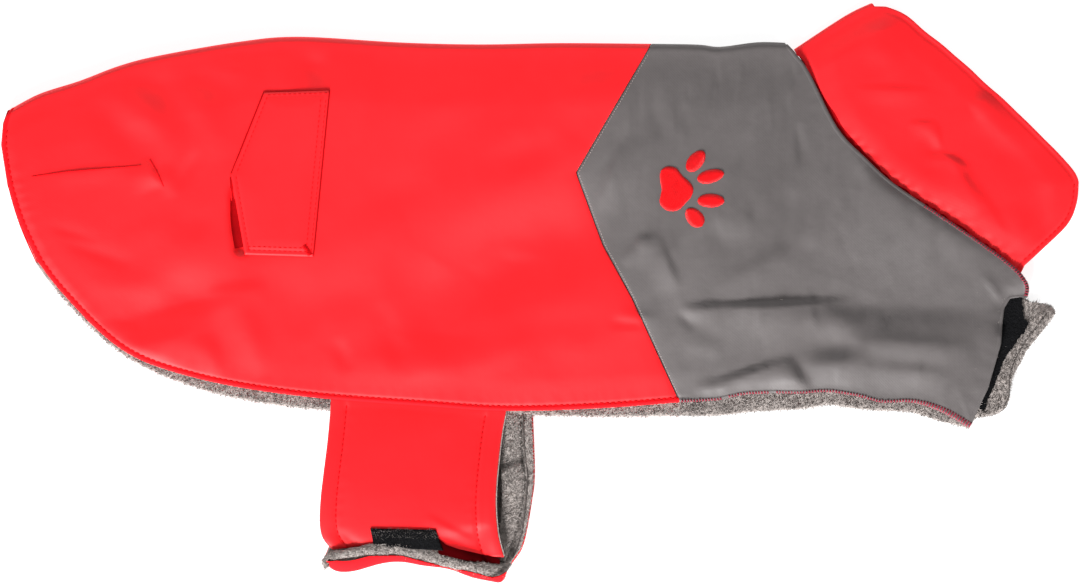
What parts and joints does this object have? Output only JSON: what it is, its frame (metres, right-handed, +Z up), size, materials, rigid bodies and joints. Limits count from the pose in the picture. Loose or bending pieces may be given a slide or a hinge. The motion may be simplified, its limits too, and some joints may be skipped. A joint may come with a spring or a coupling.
{
  "type": "dog raincoat",
  "caption": "Dog raincoat folded in half along its back and laid flat: red shell, grey front yoke, fleece lining, stand collar, pocket flap and closed belly strap.",
  "frame": {"origin": "middle of the underside, on the surface that the folded coat lies on", "axes": "+X from tail to neck, +Y from belly strap to back fold, +Z up through the folded layers"},
  "size_m": [0.5462, 0.2934, 0.0151],
  "materials": {
    "red_shell": "coated red polyester with a fine weave and a soft sheen",
    "grey_shell": "matt grey woven polyester with fine crinkles",
    "fleece": "short napped grey fleece",
    "hook_and_loop": "black hook-and-loop tape"
  },
  "bodies": {
    "root": {"back_panel": "red_shell", "front_yoke": "grey_shell", "lining": "fleece", "collar": "red_shell", "pocket_flap": "red_shell", "belly_strap_near": "red_shell", "belly_strap_near_lining": "fleece", "belly_strap_far": "red_shell", "belly_strap_far_lining": "fleece", "strap_tape": "hook_and_loop", "chest_tape": "hook_and_loop"}
  },
  "joints": []
}
